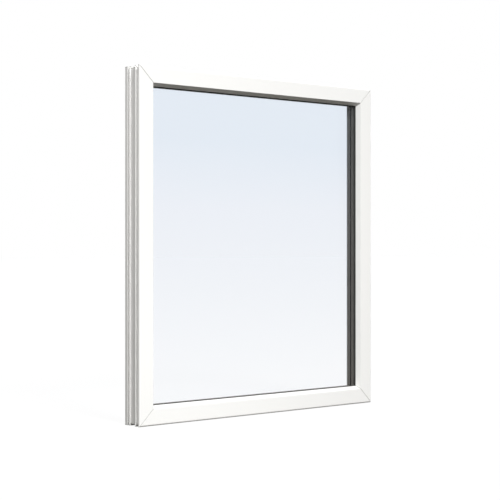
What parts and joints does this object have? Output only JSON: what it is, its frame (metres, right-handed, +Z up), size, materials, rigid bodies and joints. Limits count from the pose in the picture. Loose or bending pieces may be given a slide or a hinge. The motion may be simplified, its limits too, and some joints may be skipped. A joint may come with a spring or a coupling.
{
  "type": "fixed picture window",
  "caption": "Rectangular fixed window: a white plastic frame with mitred corners and a chamfered inner edge round a sealed triple glass unit, for closing a wall opening.",
  "frame": {"origin": "middle of the sill's rear bearing land, on the window's lowest plane", "axes": "+Z up along the height, +X to the right seen from outside, +Y from the exterior towards the room"},
  "size_m": [0.88, 0.07, 0.98],
  "materials": {
    "frame": "satin white PVC-U",
    "bead": "satin white PVC-U",
    "gasket": "matt dark grey",
    "spacer": "matt grey",
    "glass": "clear float glass"
  },
  "bodies": {
    "root": {"sill": "frame", "head": "frame", "left_jamb": "frame", "right_jamb": "frame", "sill_bead": "bead", "head_bead": "bead", "left_jamb_bead": "bead", "right_jamb_bead": "bead", "sill_outer_gasket": "gasket", "head_outer_gasket": "gasket", "left_jamb_outer_gasket": "gasket", "right_jamb_outer_gasket": "gasket", "sill_inner_gasket": "gasket", "head_inner_gasket": "gasket", "left_jamb_inner_gasket": "gasket", "right_jamb_inner_gasket": "gasket", "sill_outer_spacer": "spacer", "head_outer_spacer": "spacer", "left_jamb_outer_spacer": "spacer", "right_jamb_outer_spacer": "spacer", "sill_inner_spacer": "spacer", "head_inner_spacer": "spacer", "left_jamb_inner_spacer": "spacer", "right_jamb_inner_spacer": "spacer", "outer_pane": "glass", "middle_pane": "glass", "inner_pane": "glass"}
  },
  "joints": []
}
